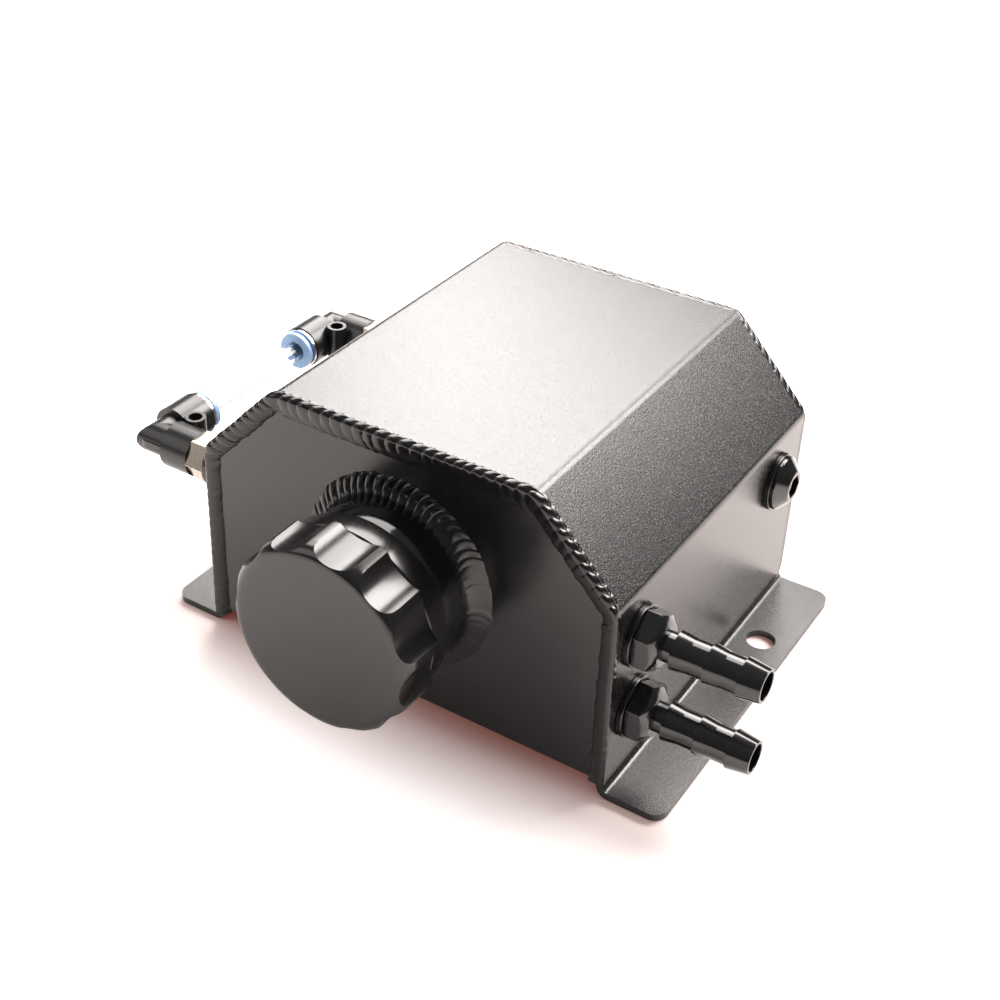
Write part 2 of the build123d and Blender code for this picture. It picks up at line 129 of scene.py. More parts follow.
def softened(outline, radius):
    """A closed outline of (radius, height) with a small round and two guard points for each corner."""
    points = []
    count = len(outline)
    for k in range(count):
        corner = Vector(outline[k])
        to_before = Vector(outline[k - 1]) - corner
        to_after = Vector(outline[(k + 1) % count]) - corner
        cut = min(radius, MOST_OF_SIDE * to_before.length, MOST_OF_SIDE * to_after.length)
        if corner.x < ON_AXIS or cut < NO_CUT:
            points.append(tuple(corner))
            continue
        near = to_before.normalized()
        far = to_after.normalized()
        points.append(tuple(corner + near * cut * CORNER_GUARD))
        for share in CORNER_SHARES:
            bend = near * (1 - share) ** 2 + far * share ** 2
            points.append(tuple(corner + bend * cut))
        points.append(tuple(corner + far * cut * CORNER_GUARD))
    return points


# %% Turned shapes
SEGMENTS = 96


def turned_point(place, radius, turn, height):
    """A point at a radius and a height in millimetres, at a turn about a placing matrix's Z axis."""
    return place @ (Vector((radius * math.cos(turn), radius * math.sin(turn), height)) * MM)


def add_turned(mesh, outline, place):
    """A turned shape: a closed outline of (radius, height) spun about a placing matrix's Z axis."""
    turns = [2 * math.pi * k / SEGMENTS for k in range(SEGMENTS)]
    rows = [[turned_point(place, radius, turn, height) for turn in turns] for radius, height in outline]
    add_skin(mesh, rows, loop_rows=True, loop_columns=True)


def placing(origin, x_way, z_way):
    """A matrix that puts a shape's own X and Z along two directions, at an origin in millimetres."""
    z_way = Vector(z_way)
    x_way = Vector(x_way)
    turn = Matrix((x_way, z_way.cross(x_way), z_way)).transposed().to_4x4()
    return Matrix.Translation(Vector(origin) * MM) @ turn


# %% Finished piece
JOIN_DISTANCE = 2e-7
LEAST_EDGE = 1e-7


def finished(name, mesh, body, stands_for, sharp_degrees=34):
    """Turns a mesh into a piece: smooth but for its sharp edges, riding on its body and replacing the
    frame's pieces.
    """
    bmesh.ops.remove_doubles(mesh, verts=mesh.verts, dist=JOIN_DISTANCE)
    bmesh.ops.dissolve_degenerate(mesh, edges=mesh.edges, dist=LEAST_EDGE)
    bmesh.ops.recalc_face_normals(mesh, faces=mesh.faces)
    for face in mesh.faces:
        face.smooth = True
    for edge in mesh.edges:
        edge.smooth = edge.calc_face_angle(0) < math.radians(sharp_degrees)
    data = bpy.data.meshes.new(name)
    mesh.to_mesh(data)
    mesh.free()
    piece = bpy.data.objects.new(name, data)
    bpy.context.scene.collection.objects.link(piece)
    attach(piece, body)
    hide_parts(*stands_for)
    print(name, "has", len(data.polygons), "faces")


# %% [markdown]
# ## Weld scales
# A weld made by hand is a row of small puddles. Each new puddle freezes over the front of the last one, so
# what stays in sight is a row of crescents, like coins that have been pushed over. Bump could draw the
# crescents, but they show in the outline of the seam too, so they are modelled: the mesh's columns follow
# the curved front of each puddle, and the height steps up at the front and sinks away behind it.

# %% Rows of scales along any bead
SCALE_PROFILE = [(0.0, 0.0), (0.1, 0.66), (0.22, 0.9), (0.42, 1.0), (0.62, 0.92), (0.84, 0.45)]
UNEVEN_LENGTH = 0.2
UNEVEN_HEIGHT = (0.7, 1.2)
UNEVEN_LEAN = 0.35
UNEVEN_WIDTH = 0.3
RISE_AT_SIDES = 0.3


def scale_columns(length, pitch, seed):
    """Places along a bead, with the height, the lean and the width of the scale that each belongs to."""
    dice = random.Random(seed)
    columns = []
    at = 0.0
    steps = [1 + dice.uniform(-UNEVEN_LENGTH, UNEVEN_LENGTH) for _ in range(round(length / pitch))]
    stretch = length / sum(steps)
    for step in steps:
        height = dice.uniform(*UNEVEN_HEIGHT)
        lean = dice.uniform(-UNEVEN_LEAN, UNEVEN_LEAN)
        widening = dice.uniform(-UNEVEN_WIDTH, UNEVEN_WIDTH)
        for phase, share in SCALE_PROFILE:
            columns.append((at + phase * step * stretch, share * height, lean, widening * share))
        at += step * stretch
    return columns


def bead_rows(columns, steps_across, section, bow, length=None):
    """Points of a bead. Section gives a point, its way out and a scale's rise, from a place on the bead."""
    rows = []
    for k in range(steps_across + 1):
        across = k / steps_across
        bulge = 1 - (2 * across - 1) ** 2
        rise_here = RISE_AT_SIDES + (1 - RISE_AT_SIDES) * bulge ** 0.5
        row = []
        for at, height, lean, widening in columns:
            along = at - bow * bulge + lean * (2 * across - 1)
            if length is not None:
                along = min(max(along, 0.0), length)
            point, outward, rise = section(along, across, widening)
            row.append((point + outward * rise * height * rise_here) * MM)
        rows.append(row)
    return rows


# %% [markdown]
# ### The seam round each end
# The seam goes up one side, over the shoulders and the top, and down the other side, laid over the joint of
# the end plate and the sheet's edge. In section it rolls over the sheet's edge and then spreads down on to
# the end plate. The photograph shows every run welded in its own way: the sides nearly flat, the left
# shoulder in even coins, the top wide and ragged. So each run has its own width and its own height of
# scale, and the seam fades from one to the next round the corners.

# %% Line of the seam
MIDDLE_INSET = 2.6
SEAM_FOOT = 3.7
TURN_RADIUS = 4.0


def seam_corners():
    """The seam's middle line as corner points of (x, z), from the left side's foot to the right side's."""
    lean_run = Vector((half_width - HALF_TOP, body_height - SHOULDER_HEIGHT)).normalized()
    side_shift = MIDDLE_INSET * (1 - lean_run.y) / lean_run.x
    top_shift = MIDDLE_INSET * (1 - lean_run.x) / lean_run.y
    x_side = half_width - MIDDLE_INSET
    z_top = body_height - MIDDLE_INSET
    left = [(-x_side, SEAM_FOOT), (-x_side, SHOULDER_HEIGHT - side_shift), (-HALF_TOP + top_shift, z_top)]
    right = [(-x, z) for x, z in reversed(left)]
    return [Vector(point) for point in left + right]


def rounded_path(corners, radius):
    """Runs and arcs through the corners, each as (length, start, direction, turn), and the whole length."""
    pieces = []
    start = corners[0]
    for before, corner, after in zip(corners, corners[1:], corners[2:]):
        first = (corner - before).normalized()
        second = (after - corner).normalized()
        turn = math.atan2(first.x * second.y - first.y * second.x, first.dot(second))
        cut = radius * math.tan(abs(turn) / 2)
        end = corner - first * cut
        pieces.append(((end - start).length, start, first, 0.0))
        pieces.append((radius * abs(turn), end, first, turn))
        start = corner + second * cut
    last = corners[-1] - start
    pieces.append((last.length, start, last.normalized(), 0.0))
    return pieces, sum(piece[0] for piece in pieces)


def on_path(pieces, radius, at):
    """The place and direction at a length along a rounded path."""
    for length, start, way, turn in pieces[:-1]:
        if at <= length:
            break
        at -= length
    else:
        length, start, way, turn = pieces[-1]
    if turn == 0.0:
        return start + way * at, way
    angle = abs(turn * at / length)
    side = Vector((-way.y, way.x)) * math.copysign(1, turn)
    place = start + way * radius * math.sin(angle) + side * radius * (1 - math.cos(angle))
    return place, way * math.cos(angle) + side * math.sin(angle)


seam_pieces, seam_length = rounded_path(seam_corners(), TURN_RADIUS)
corner_places = []
passed = 0.0
for run, arc in zip(seam_pieces[0::2], seam_pieces[1::2]):
    passed += run[0] + arc[0]
    corner_places.append(passed - arc[0] / 2)
print("seam", round(seam_length, 1), "mm, with corners at", [round(place, 1) for place in corner_places])

# %% [markdown]
# The section is a function of how far across the bead a point lies, from 0 on the sheet to 1 on the plate.
# The first half is the roll over the sheet's edge, and the second half the spread over the plate. The
# scales stand out at an angle that turns with the section, and each run says how much lower they are on
# the plate's side.

# %% Values of the five runs
RUN_WIDTHS = (4.2, 4.5, 6.3, 5.1, 4.3)
RUN_SCALES = (0.16, 0.6, 0.75, 0.5, 0.12)
RUN_FACES = (0.7, 0.9, 0.3, 0.35, 0.6)
FADE = 5.0


def run_value(values, along):
    """A value that each run of the seam has for itself, faded over the corners."""
    value = values[0]
    for place, following, before in zip(corner_places, values[1:], values):
        share = min(max((along - place) / FADE + 0.5, 0.0), 1.0)
        value += (following - before) * share * share * (3 - 2 * share)
    return value


# %% Section of the seam
WRAP_SHARE = 0.5
WRAP_END = 1.6
EDGE_ROUND = 0.5
FRONT_WRAP = 0.9
REAR_WRAP = 0.2
FRONT_PROUD = 0.38
REAR_PROUD = 0.04
PROUD_BY = 0.15
ROLL_BACK = 0.9
ROLL_POWER = 0.9
SPREAD_POWER = 0.8
LAST_FACING = 110
FACING_POWER = 1.3
FACE_START = 0.4
FACE_FADE = 0.25
REAR_SHARE = 0.35


def seam_section(rear):
    """The seam's section function, for the front end or the rear end."""
    wrap = REAR_WRAP if rear else FRONT_WRAP
    proud = REAR_PROUD if rear else FRONT_PROUD

    def section(along, across, widening):
        place, way = on_path(seam_pieces, TURN_RADIUS, along)
        inward = Vector((way.y, -way.x))
        width = run_value(RUN_WIDTHS, along) + widening * across
        if across < WRAP_SHARE:
            roll = across / WRAP_SHARE
            last_quarter = max(4 * roll - 3, 0.0)
            into = proud * (ROLL_BACK * roll * roll - min(roll / PROUD_BY, 1.0))
            into += EDGE_ROUND * last_quarter ** 2
            forward = (WRAP_END + wrap) * roll ** ROLL_POWER - wrap
        else:
            spread = (across - WRAP_SHARE) / (1 - WRAP_SHARE)
            start = EDGE_ROUND - (1 - ROLL_BACK) * proud
            into = start + (width - start) * spread
            forward = WRAP_END * max(math.cos(math.pi / 2 * spread), 0.0) ** SPREAD_POWER
        into -= MIDDLE_INSET
        point = Vector((place.x + inward.x * into, front_y - forward, place.y + inward.y * into))
        facing = math.radians(LAST_FACING * across ** FACING_POWER)
        aside = -math.cos(facing)
        outward = Vector((inward.x * aside, -math.sin(facing), inward.y * aside))
        on_face = min(max((across - FACE_START) / FACE_FADE, 0.0), 1.0)
        rise = run_value(RUN_SCALES, along) * (1 + (run_value(RUN_FACES, along) - 1) * on_face)
        if rear:
            point.y = rear_y + front_y - point.y
            outward.y = -outward.y
            rise *= REAR_SHARE
        return point, outward, rise

    return section


# %% Seam round each end
SEAM_PITCH = 3.2
SEAM_BOW = 1.7
SEAM_STEPS = 24
SEAM_DEPTH = 0.8
for end, seed, depth in (("front", 5, SEAM_DEPTH), ("rear", 9, -SEAM_DEPTH)):
    mesh = bmesh.new()
    columns = scale_columns(seam_length, SEAM_PITCH, seed)
    columns.append((seam_length, 0.0, 0.0, 0.0))
    rows = bead_rows(columns, SEAM_STEPS, seam_section(end == "rear"), SEAM_BOW, seam_length)
    under = [[Vector((p.x, p.y + depth * MM, p.z)) for p in row] for row in (rows[-1], rows[0])]
    grid = add_skin(mesh, rows + under, loop_rows=True)
    for column in (0, -1):
        mesh.faces.new([row[column] for row in grid])
    finished(f"{end}_weld_scales", mesh, "tank", [f"{end}_perimeter_weld"], sharp_degrees=40)

# %% [markdown]
# ### The seam round the neck
# The same scales run round the neck. This weld is hollow: it climbs from the plate to the neck in an inward
# curve. The scales are thin high crescents on the upper left, where the torch had room, and low broad ones
# on the right.

# %% Section of the neck's seam
NECK_RADIUS = 23.0
NECK_WELD_WIDTH = 5.5
NECK_WELD_RISE = 5.4
NECK_WELD_HOLLOW = 1.2
HOLLOW_WITH_RISE = 0.8
NECK_WELD_TURN = 0.9
CRESCENT_MIDDLE = math.radians(122)
CRESCENT_POWER = 4
CRESCENT_RISE = 0.9
LEAST_RISE = 0.05


def neck_section(along, across, widening):
    """A place round the neck, the way out of it and the scales' rise, measured on the weld's outer rim."""
    rim = NECK_RADIUS + NECK_WELD_WIDTH
    turn = math.pi / 2 - along / rim
    chord = math.hypot(NECK_WELD_WIDTH, NECK_WELD_RISE)
    up = NECK_WELD_WIDTH / chord
    out = NECK_WELD_RISE / chord
    crisp = 0.5 + 0.5 * math.cos(turn - CRESCENT_MIDDLE)
    rise = LEAST_RISE + CRESCENT_RISE * crisp ** CRESCENT_POWER
    deepest = NECK_WELD_HOLLOW + HOLLOW_WITH_RISE * rise
    hollow = deepest * 4 * across * (1 - across) * (0.5 + across)
    radius = rim + widening * (1 - across) - NECK_WELD_WIDTH * across - out * hollow
    height = NECK_WELD_RISE * across - up * hollow
    slope = (across - 0.5) * NECK_WELD_TURN
    leaned_out = out * math.cos(slope) + up * math.sin(slope)
    leaned_up = up * math.cos(slope) - out * math.sin(slope)
    point = Vector((radius * math.cos(turn), front_y - height, cap_centre + radius * math.sin(turn)))
    return point, Vector((leaned_out * math.cos(turn), -leaned_up, leaned_out * math.sin(turn))), rise


# %% Seam round the neck
NECK_PITCH = 3.0
NECK_BOW = 1.9
NECK_STEPS = 14
NECK_WELD_DEPTH = 0.6
INTO_NECK = 0.3
neck_length = 2 * math.pi * (NECK_RADIUS + NECK_WELD_WIDTH)
mesh = bmesh.new()
columns = scale_columns(neck_length, NECK_PITCH, seed=21)
rows = bead_rows(columns, NECK_STEPS, neck_section, NECK_BOW)
foot_row = []
top_row = []
heel_row = []
for column in columns:
    rim_point = neck_section(column[0], 0.0, 0.0)[0]
    neck_point = neck_section(column[0], 1.0, 0.0)[0]
    from_axis = Vector((neck_point.x, 0, neck_point.z - cap_centre)).normalized() * (NECK_RADIUS - INTO_NECK)
    sunk_y = rim_point.y + NECK_WELD_DEPTH
    foot_row.append(Vector((rim_point.x, sunk_y, rim_point.z)) * MM)
    top_row.append(Vector((from_axis.x, neck_point.y, from_axis.z + cap_centre)) * MM)
    heel_row.append(Vector((from_axis.x, sunk_y, from_axis.z + cap_centre)) * MM)
add_skin(mesh, [foot_row] + rows + [top_row, heel_row], loop_rows=True, loop_columns=True)
finished("neck_weld_scales", mesh, "tank", ["neck_weld"], sharp_degrees=40)

# %% [markdown]
# ## Cap and neck
# The cap is turned from bar and then fluted by a round cutter, twelve times. Where a flute meets the
# rounded rim it leaves a curved edge. A grid of even rows would cut that edge into steps. So in every
# column the rim ends exactly where the cutter begins, and the edge lies on one row of the mesh.

# %% Places on the cap
CAP_RADIUS = 26.8
FACE_RADIUS = 22.8
FACE_REACH = 35.0
EDGE_REACH = 29.8
SKIRT_REACH = 21.2
SKIRT_RADIUS = 25.0
SEAT_REACH = 14.6
FLUTES = 12
FLUTE_RADIUS = 13.6
FLUTE_DEPTH = 2.0
FLUTE_TURN = math.radians(21.25)
flute_centre = CAP_RADIUS - FLUTE_DEPTH + FLUTE_RADIUS
neck_place = placing((0, front_y, cap_centre), (1, 0, 0), (0, -1, 0))
flute_edge = math.acos(
    (CAP_RADIUS ** 2 + flute_centre ** 2 - FLUTE_RADIUS ** 2) / (2 * CAP_RADIUS * flute_centre)
)
print("flute half angle", round(math.degrees(flute_edge), 2))

# %% Plain and threaded rows
THREAD_PITCH = 3.0
THREAD_STEPS = 10
THREAD_FADE = 1.5


def plain_rows(outline):
    """Rows of a plain turned surface, each as its radius for any turn and its height."""
    return [(lambda turn, radius=radius: radius, height) for radius, height in outline]


def thread_rows(crest, root, low, high):
    """Rows of a screw thread between two heights, in the same form, fading out at both ends."""
    count = round((high - low) / THREAD_PITCH * THREAD_STEPS)
    rows = []
    for k in range(count + 1):
        height = low + (high - low) * k / count

        def radius_at(turn, height=height):
            phase = (height / THREAD_PITCH - turn / (2 * math.pi)) % 1.0
            flank = min(max(abs(phase - 0.5) * 4 - 0.5, 0.0), 1.0)
            ends = min((height - low) / THREAD_FADE, (high - height) / THREAD_FADE, 1.0)
            return crest + (root - crest) * flank * ends

        rows.append((radius_at, height))
    return rows


# %% Columns of the cap
CUT_SHARES = (0.2, 0.4, 0.6, 0.78, 0.9, 0.97, 1)
LAND_SHARES = (0.08, 0.5, 0.92)


def cap_columns():
    """Turns round the cap, closer at the flutes' edges, each with the radius that the cutter leaves."""
    columns = []
    pitch = 2 * math.pi / FLUTES
    land = pitch - 2 * flute_edge
    shares = [-share for share in reversed(CUT_SHARES)] + [0] + list(CUT_SHARES)
    for k in range(FLUTES):
        middle = FLUTE_TURN + pitch * k
        for share in shares:
            offset = flute_edge * share
            cut = flute_centre * math.cos(offset)
            cut -= math.sqrt(FLUTE_RADIUS ** 2 - (flute_centre * math.sin(offset)) ** 2)
            columns.append((middle + offset, min(cut, CAP_RADIUS)))
        for share in LAND_SHARES:
            columns.append((middle + flute_edge + land * share, CAP_RADIUS))
    return columns


# %% [markdown]
# The rows go from the middle of the cap's face over the rim and down the flutes, then along the plain
# skirt, through the groove of the seal, and down the thread to the foot of the plug that goes into the
# neck. The rim is a superellipse, fuller than a quarter circle, as a cap looks that is rounded with a form
# tool. A small corner is given as three points of (inset, lift). The groove and the plug's foot are given
# as (radius, height over the seat), and the thread as its crest, its root and the heights of its ends.

# %% Rows of the cap
FACE_RINGS = (0.0, 8.0, 16.0, 21.6, 22.4)
RIM_POWER = 2.6
RIM_STEPS = 10
SIDE_SHARES = (0.03, 0.5, 0.97)
SIDE_CORNER = ((0.0, 0.5), (0.15, 0.15), (0.5, 0.0))
SKIRT_CORNER = 0.3
SEAT_CORNER = ((0.0, 0.5), (0.1, 0.1), (0.5, 0.0))
GROOVE = ((21.9, 0.0), (21.9, 1.6), (18.7, 1.6), (18.7, 0.0), (17.9, 0.0))
CAP_THREAD = (17.9, 16.6, -12.2, -0.4)
PLUG_FOOT = ((17.2, -12.6), (15.0, -12.6), (13.8, -12.4), (13.8, -4.0), (13.0, -3.4), (0.0, -3.4))


def without_flutes(rows):
    """Turned rows in the form of the cap's own rows, for a stretch that the cutter doesn't reach."""
    return [(lambda turn, cut, f=f, h=h: (f(turn), h)) for f, h in rows]


def cap_rows():
    """Rows of the cap from the middle of its face over the rim and the flutes to the foot of its plug."""
    rows = without_flutes(plain_rows([(radius, FACE_REACH) for radius in FACE_RINGS]))

    def rim(share):
        def at(turn, cut):
            reached = min(max((cut - FACE_RADIUS) / (CAP_RADIUS - FACE_RADIUS), 0.0), 1.0)
            end = math.acos(reached ** (RIM_POWER / 2))
            angle = math.pi / 2 + (end - math.pi / 2) * share
            aside = max(math.cos(angle), 0.0) ** (2 / RIM_POWER)
            ahead = math.sin(angle) ** (2 / RIM_POWER)
            radius = FACE_RADIUS + (CAP_RADIUS - FACE_RADIUS) * aside
            return radius, EDGE_REACH + (FACE_REACH - EDGE_REACH) * ahead
        return at

    def side(share, inset=0.0, lift=0.0):
        def at(turn, cut):
            top = rim(1.0)(turn, cut)[1]
            return cut - inset, top + (SKIRT_REACH + lift - top) * share
        return at

    rows += [rim(k / RIM_STEPS) for k in range(RIM_STEPS + 1)]
    rows += [side(share) for share in SIDE_SHARES]
    rows += [side(1.0, inset, lift) for inset, lift in SIDE_CORNER]
    skirt = [(SKIRT_RADIUS - SKIRT_CORNER, SKIRT_REACH), (SKIRT_RADIUS, SKIRT_REACH - SKIRT_CORNER)]
    skirt += [(SKIRT_RADIUS, SKIRT_REACH - 4 * SKIRT_CORNER)]
    skirt += [(SKIRT_RADIUS - inset, SEAT_REACH + lift) for inset, lift in SEAT_CORNER]
    skirt += [(radius, SEAT_REACH + height) for radius, height in GROOVE]
    crest, root, low, high = CAP_THREAD
    thread = thread_rows(crest, root, SEAT_REACH + low, SEAT_REACH + high)
    foot = [(radius, SEAT_REACH + height) for radius, height in PLUG_FOOT]
    rows += without_flutes(plain_rows(skirt) + thread[::-1] + plain_rows(foot))
    return rows


# %% Cap
mesh = bmesh.new()
columns = cap_columns()
cap_points = []
for row in cap_rows():
    line = []
    for turn, cut in columns:
        radius, height = row(turn, cut)
        line.append(turned_point(neck_place, radius, turn, height))
    cap_points.append(line)
add_skin(mesh, cap_points, loop_columns=True)
finished("fluted_cap", mesh, "filler_cap", ["filler_cap"], sharp_degrees=30)

# %% [markdown]
# The neck is plain outside, with a rounded lip that carries the brightest line of the whole front. Inside it
# has the same thread, which only shows when the cap is off.

# %% Outline of the neck
NECK_REACH = 13.6
NECK_FOOT = -4.6
NECK_BORE = 16.4
LIP_START = 9.4
LIP_GUARD = 0.4
LIP_TAPER = 0.6
LIP_ROUND = 1.2
TAPER_STEPS = 4
TAPER_POWER = 1.4
LIP_STEPS = 6
MOUTH_CORNER = 0.6
NECK_CREST = 18.0
NECK_ROOT = 19.3
NECK_THREAD_LOW = -1.0
NECK_THREAD_END = 0.9
lip_radius = NECK_RADIUS - LIP_TAPER
neck_outline = [(NECK_BORE, NECK_FOOT), (NECK_RADIUS, NECK_FOOT)]
neck_outline += [(NECK_RADIUS, LIP_START - LIP_GUARD), (NECK_RADIUS, LIP_START)]
for k in range(1, TAPER_STEPS + 1):
    share = k / TAPER_STEPS
    up = share * (NECK_REACH - LIP_ROUND - LIP_START)
    neck_outline.append((NECK_RADIUS - LIP_TAPER * share ** TAPER_POWER, LIP_START + up))
for k in range(1, LIP_STEPS + 1):
    angle = math.pi / 2 * k / LIP_STEPS
    radius = lip_radius - LIP_ROUND + LIP_ROUND * math.cos(angle)
    neck_outline.append((radius, NECK_REACH - LIP_ROUND + LIP_ROUND * math.sin(angle)))
neck_outline += [(lip_radius - LIP_ROUND - LIP_GUARD, NECK_REACH)]
neck_outline += [(NECK_CREST + MOUTH_CORNER, NECK_REACH), (NECK_CREST, NECK_REACH - MOUTH_CORNER)]

# %% Neck
NECK_SEGMENTS = 128
under_thread = NECK_THREAD_LOW - MOUTH_CORNER
thread = thread_rows(NECK_CREST, NECK_ROOT, NECK_THREAD_LOW, NECK_REACH - NECK_THREAD_END)
neck_rows = plain_rows(neck_outline) + thread[::-1]
neck_rows += plain_rows([(NECK_CREST, under_thread), (NECK_BORE, under_thread)])
turns = [2 * math.pi * k / NECK_SEGMENTS for k in range(NECK_SEGMENTS)]
neck_points = []
for radius_at, height in neck_rows:
    neck_points.append([turned_point(neck_place, radius_at(turn), turn, height) for turn in turns])
mesh = bmesh.new()
add_skin(mesh, neck_points, loop_rows=True, loop_columns=True)
finished("threaded_neck", mesh, "tank", ["filler_neck"], sharp_degrees=30)

# %% [markdown]
# ## Hose tails, plug and bungs
# All of these are turned. The hexagon of a hose tail is bar stock that the lathe has only chamfered at its
# end, so its flats keep their corners and a cone trims them. Each flat is a fan of columns, and the height
# of the cone at each column follows from how far out that column lies.

# %% Ports on the right wall
def port_place(y, z):
    """A placing matrix on the right wall, with its Z axis pointing away from the tank."""
    return placing((half_width, y, z), (0, 1, 0), (1, 0, 0))


def port_middle(node):
    """The place across the right wall, as (y, z) in millimetres, of the node that is screwed in there."""
    low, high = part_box(node)
    return (low.y + high.y) / 2 / MM, (low.z + high.z) / 2 / MM


port_y, upper_z = port_middle("upper_hose_barb")
lower_z = port_middle("lower_hose_barb")[1]
spare_y = port_middle("spare_port_plug")[0]
print("ports at", round(port_y, 1), round(spare_y, 1), "heights", round(upper_z, 1), round(lower_z, 1))

# %% Hexagon of a hose tail
BUNG_PROUD = 1.6
HEX_FLATS = 14.4
HEX_LENGTH = 6.2
HEX_BORE = 3.95
HEX_CORNER = 0.35
CONE_RADIUS = 5.6
CONE_LENGTH = 2.2
FLAT_SHARES = (-0.985, -0.94, -0.7, -0.4, 0, 0.4, 0.7, 0.94, 0.985)
CONE_EDGE = ((0.0, 0.15), (0.0, 0.06), (0.06, 0.0), (0.3, -0.012))
CONE_TOP = ((0.1, 0.05), (-0.1, 0.0))


def add_hexagon(mesh, place):
    """A hexagon bar with softened corners and a turned chamfer on its outer end, open at a bore."""
    low = BUNG_PROUD
    high = BUNG_PROUD + HEX_LENGTH
    reach = HEX_FLATS / 2
    corner = reach / math.cos(math.pi / 6)
    drop = CONE_LENGTH / (corner - CONE_RADIUS)
    columns = []
    for k in range(6):
        middle = math.pi / 3 * k
        for share in FLAT_SHARES:
            columns.append((middle + math.pi / 6 * share, reach / math.cos(math.pi / 6 * share)))
    rows = [[(HEX_BORE, low)] * len(columns)]
    rows.append([(radius - HEX_CORNER, low) for turn, radius in columns])
    rows.append([(radius, low + HEX_CORNER) for turn, radius in columns])
    for inset, sunk in CONE_EDGE:
        row = []
        for turn, radius in columns:
            trimmed = max(radius - inset - CONE_RADIUS, 0) * drop
            row.append((radius - inset, high - trimmed - sunk))
        rows.append(row)
    for outset, sunk in CONE_TOP:
        rows.append([(CONE_RADIUS + outset, high - sunk)] * len(columns))
    rows.append([(HEX_BORE, high)] * len(columns))
    points = []
    for row in rows:
        pairs = zip(columns, row)
        points.append([turned_point(place, radius, turn, height) for (turn, _), (radius, height) in pairs])
    add_skin(mesh, points, loop_rows=True, loop_columns=True)


# %% [markdown]
# A hose tail is one turned piece: a thread that goes into the wall, the hexagon, a short neck, and three
# sharp barbs that bite into the hose. The barbs could be cones that are put together, but one outline
# spun about the axis has no joints, so its crests stay clean. The cones are shallow, because a steeper
# cone would lose the bright band that the lamp draws along each of them.

# %% Hose tails
BORE = 3.6
PORT_THREAD = 5.8
TAIL_DEPTH = 9.0
THREAD_PROUD = 0.4
TAIL_NECK_RADIUS = 4.0
TAIL_NECK = 2.7
BARBS = 3
BARB_PITCH = 8.65
BARB_CREST = 5.2
BARB_LAND = 4.65
BARB_CONE = 4.3
MOUTH_RADIUS = 4.42
MOUTH_CONE = 6.0
TAIL_CORNER = 0.16


def barb_outline():
    """The outline of a hose tail from its thread to its mouth: neck, three barbs and the bore."""
    foot = BUNG_PROUD - TAIL_DEPTH
    thread_top = BUNG_PROUD + THREAD_PROUD
    first = BUNG_PROUD + HEX_LENGTH + TAIL_NECK
    outline = [(BORE, foot), (PORT_THREAD, foot), (PORT_THREAD, thread_top)]
    outline += [(TAIL_NECK_RADIUS, thread_top), (TAIL_NECK_RADIUS, first)]
    for k in range(BARBS - 1):
        crest = first + BARB_PITCH * k
        outline += [(BARB_CREST, crest), (BARB_LAND, crest + BARB_CONE), (BARB_LAND, crest + BARB_PITCH)]
    last = first + BARB_PITCH * (BARBS - 1)
    outline += [(BARB_CREST, last), (MOUTH_RADIUS, last + MOUTH_CONE), (BORE, last + MOUTH_CONE)]
    return softened(outline, TAIL_CORNER)


for name, z in (("upper", upper_z), ("lower", lower_z)):
    mesh = bmesh.new()
    place = port_place(port_y, z)
    add_turned(mesh, barb_outline(), place)
    add_hexagon(mesh, place)
    finished(f"{name}_hose_tail", mesh, "tank", [f"{name}_hose_barb"])

# %% [markdown]
# Each port is a bung, a threaded ring that is welded into a hole of the wall. Its rim stands a little
# proud, with a recess for the rubber ring under the hexagon. The frame's bung has sharp corners, so it is
# spun again here with rounded ones, which catch the light under the coat.

# %% Bungs
BUNG_BORE = 5.9
BUNG_BARREL = 7.4
BUNG_DEPTH = 8.0
BUNG_RIM = 8.4
RECESS_RADIUS = 7.3
RECESS_FLOOR = 0.6
BUNG_CORNER = 0.3
bung_outline = [(BUNG_BORE, -BUNG_DEPTH), (BUNG_BARREL, -BUNG_DEPTH), (BUNG_BARREL, 0.0), (BUNG_RIM, 0.0)]
bung_outline += [(BUNG_RIM, BUNG_PROUD), (RECESS_RADIUS, BUNG_PROUD)]
bung_outline += [(RECESS_RADIUS, RECESS_FLOOR), (BUNG_BORE, RECESS_FLOOR)]
ports = {"upper_hose": (port_y, upper_z), "lower_hose": (port_y, lower_z), "spare_port": (spare_y, upper_z)}
for name, (y, z) in ports.items():
    mesh = bmesh.new()
    add_turned(mesh, softened(bung_outline, BUNG_CORNER), port_place(y, z))
    finished(f"{name}_weld_boss", mesh, "tank", [f"{name}_bung"])

# %% [markdown]
# The spare port is closed by a plug with a hexagon socket. Its outline is turned as far as the face, and
# there the rings of points change from round to six-sided and go down into the socket.

# %% Spare plug
PLUG_FOOT_DEPTH = 7.4
PLUG_TOP = 5.6
PLUG_RIM = 7.9
PLUG_RIM_TOP = 2.6
PLUG_CONE = 4.4
PLUG_FACE = 3.8
PLUG_CORNER = 0.2
FACE_GAP = 0.05
SOCKET = 6.0
SOCKET_CORNER = 0.12
SOCKET_DEPTH = 4.5


def socket_row(grow, height):
    """A ring of points round the hexagon socket, as (radius, height)."""
    row = []
    for k in range(SEGMENTS):
        share = (k * 6 / SEGMENTS) % 1.0 - 0.5
        row.append((SOCKET / 2 / math.cos(share * math.pi / 3) + grow, height))
    return row


def round_row(radius, height):
    """A round ring of points, as (radius, height)."""
    return [(radius, height)] * SEGMENTS


